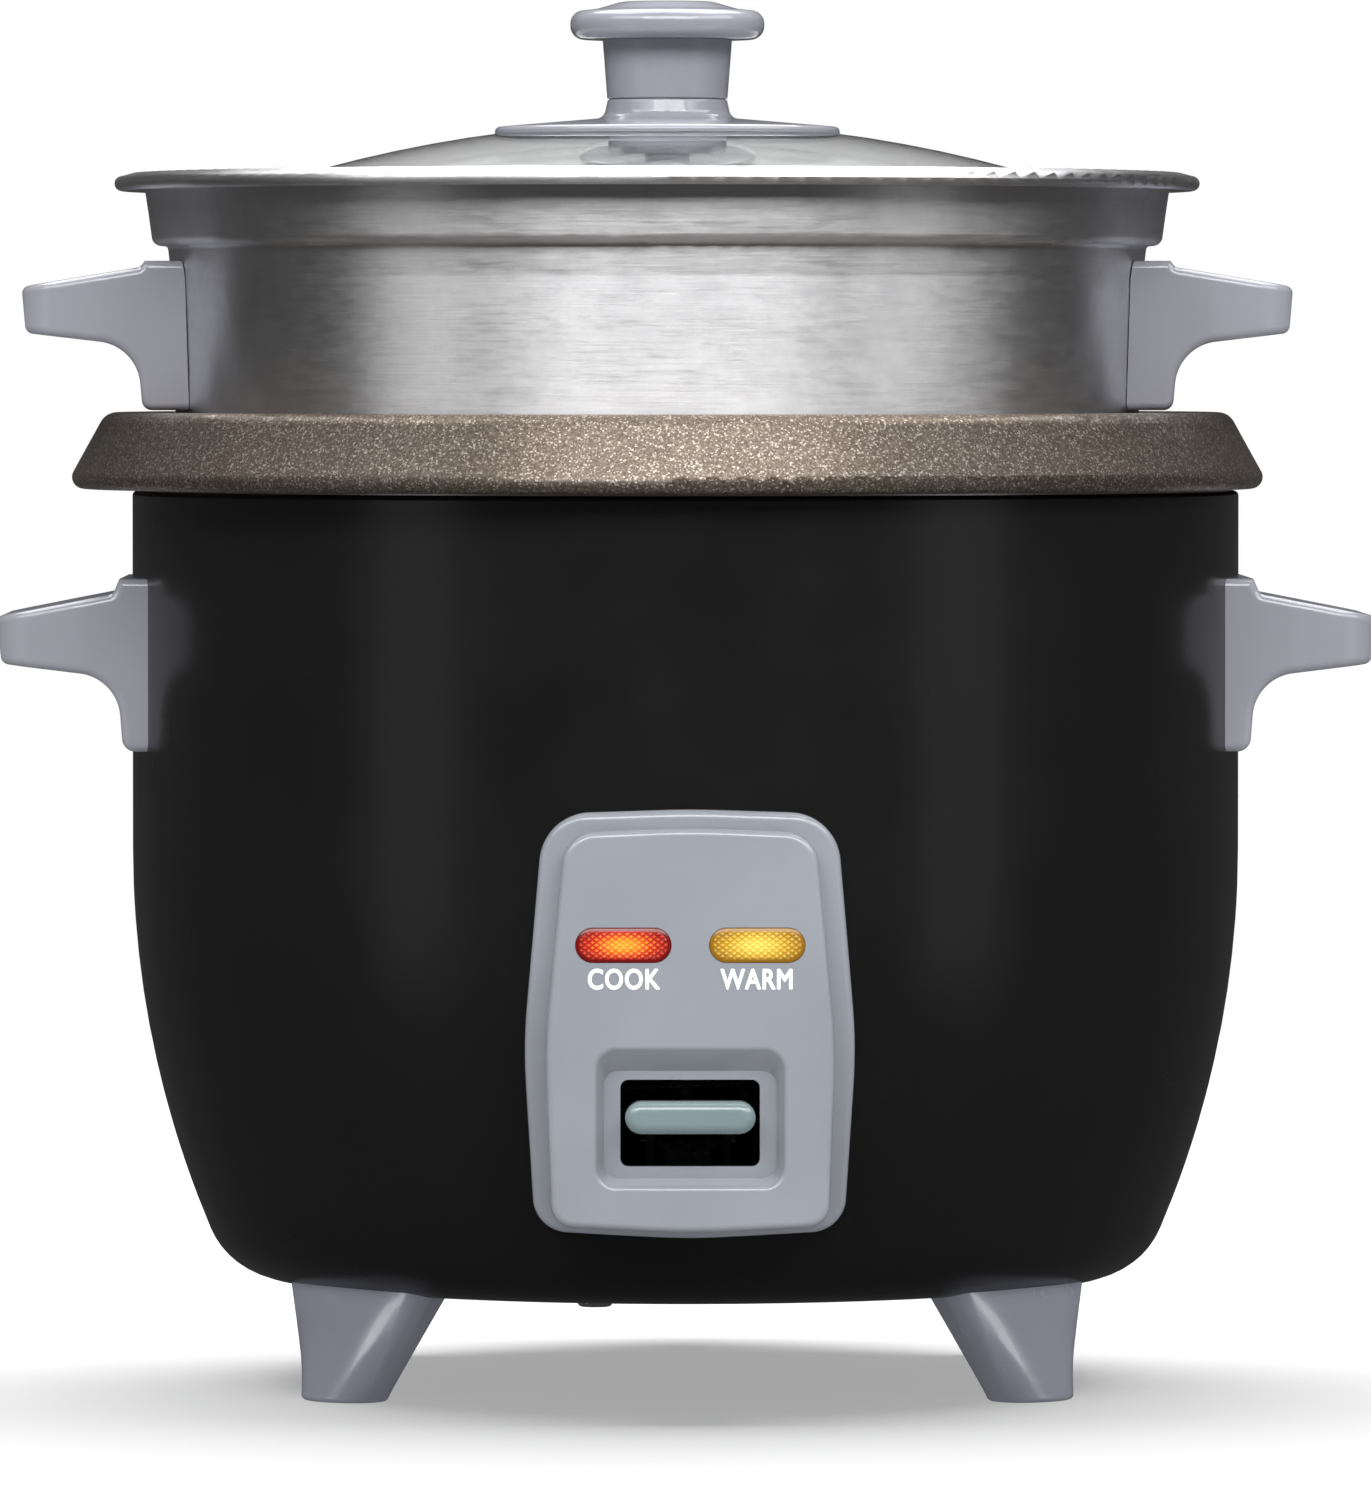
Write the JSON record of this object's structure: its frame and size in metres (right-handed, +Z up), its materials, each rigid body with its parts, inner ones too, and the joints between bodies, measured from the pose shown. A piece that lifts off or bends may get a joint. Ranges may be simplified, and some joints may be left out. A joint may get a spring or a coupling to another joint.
{
  "type": "rice cooker",
  "caption": "Drum rice cooker with painted body, cook lever and lamps, lift-out non-stick pot, steamer basket with side handles and knobbed glass lid.",
  "frame": {"origin": "on the table under the centre of the body", "axes": "+Z up, the front with the switch and lamps faces -Y, side handles along X"},
  "size_m": [0.2412, 0.2098, 0.2432],
  "materials": {
    "body_paint": "satin black paint",
    "zinc_sheet": "zinc-plated sheet",
    "black_sheet": "black-oxide sheet",
    "steel_sheet": "zinc-plated sheet",
    "screw_steel": "zinc-plated",
    "foot_plastic": "satin grey plastic",
    "handle_plastic": "glossy grey plastic",
    "panel_plastic": "glossy blue-grey plastic",
    "lens_red": "clear red lens",
    "lens_amber": "clear amber lens",
    "board": "circuit board",
    "lamp_body": "small lamp body",
    "lever_steel": "zinc-plated strip",
    "paddle_plastic": "glossy teal-grey plastic",
    "pin_steel": "ground steel",
    "phenolic": "brown phenolic moulding",
    "brass_blades": "spring brass",
    "liner_steel": "galvanised sheet",
    "cast_aluminium": "turned casting",
    "element_sheath": "oxidised sheath",
    "standoff_steel": "turned",
    "sensor_aluminium": "satin",
    "ferrite": "sintered ferrite",
    "magnet": "nickel-plated",
    "spring_steel": "drawn wire",
    "thermostat": "phenolic body",
    "fuse": "enamel sleeve",
    "inlet_plastic": "black moulding",
    "pin_brass": "nickel-plated brass",
    "pot_coating": "bronze non-stick coating",
    "basket_aluminium": "brushed",
    "rivet_aluminium": "plain",
    "lid_glass": "clear toughened glass",
    "knob_plastic": "glossy grey plastic",
    "washer_steel": "stainless",
    "knob_screw_steel": "stainless"
  },
  "bodies": {
    "base": {"body_handle_left": "handle_plastic", "body_handle_right": "handle_plastic", "body_handle_screws": "screw_steel", "body_shell": "body_paint", "bottom_cover": "zinc_sheet", "contact_blades": "brass_blades", "contact_block": "phenolic", "control_panel": "panel_plastic", "cover_screws": "screw_steel", "foot_front_left": "foot_plastic", "foot_front_right": "foot_plastic", "foot_rear_left": "foot_plastic", "foot_rear_right": "foot_plastic", "foot_screws": "screw_steel", "heating_element": "element_sheath", "heating_plate": "cast_aluminium", "inlet_pins": "pin_brass", "inlet_screws": "screw_steel", "inner_liner": "liner_steel", "keep_warm_thermostat": "thermostat", "lamp_board": "board", "lamp_lens_cook": "lens_red", "lamp_lens_warm": "lens_amber", "lamps": "lamp_body", "lever_bracket": "black_sheet", "panel_screws_lower": "screw_steel", "panel_screws_upper": "screw_steel", "pivot_pin": "pin_steel", "plate_screws": "screw_steel", "plate_standoffs": "standoff_steel", "power_inlet": "inlet_plastic", "sensor_bracket": "steel_sheet", "sensor_bracket_screws": "screw_steel", "sensor_spring": "spring_steel", "thermal_fuse": "fuse"},
    "pot": {"cooking_pot": "pot_coating"},
    "steamer": {"steamer_basket": "basket_aluminium", "steamer_handle_left": "handle_plastic", "steamer_handle_right": "handle_plastic", "steamer_rivets": "rivet_aluminium"},
    "lid": {"lid_glass": "lid_glass", "knob_base": "knob_plastic", "knob_neck": "knob_plastic", "knob_cap": "knob_plastic", "knob_washer": "washer_steel", "knob_screw": "knob_screw_steel"},
    "lever": {"cook_lever": "lever_steel", "switch_paddle": "paddle_plastic"},
    "magnet": {"magnet": "magnet"},
    "sensor": {"sensor_cap": "sensor_aluminium", "sensor_ferrite": "ferrite", "magnet_spring": "spring_steel"}
  },
  "joints": [
    {"name": "pot_lift", "type": "slide", "parent": "base", "child": "pot", "axis": [0, 0, 1], "range_m": [0, 0.13]},
    {"name": "steamer_lift", "type": "slide", "parent": "pot", "child": "steamer", "axis": [0, 0, 1], "range_m": [0, 0.11]},
    {"name": "lid_lift", "type": "slide", "parent": "steamer", "child": "lid", "axis": [0, 0, 1], "range_m": [0, 0.1]},
    {"name": "cook_lever_turn", "type": "hinge", "parent": "base", "child": "lever", "pos_m": [0, -0.058, 0.048], "axis": [1, 0, 0], "range_deg": [0, 6.5], "stiffness_Nm_per_rad": 0.2, "springref_deg": -11.46},
    {"name": "magnet_slide", "type": "slide", "parent": "base", "child": "magnet", "axis": [0, 0, 1], "range_m": [0, 0.0066], "stiffness_N_per_m": 60, "springref_m": -0.01, "deforming": ["magnet_spring"]},
    {"name": "sensor_press", "type": "slide", "parent": "base", "child": "sensor", "axis": [0, 0, 1], "range_m": [-0.0012, 0], "stiffness_N_per_m": 500, "springref_m": 0.004, "deforming": ["sensor_spring"]}
  ],
  "couplings": [
    {"joint": "magnet_slide", "follows": "cook_lever_turn", "m_per_rad": 0.058}
  ]
}
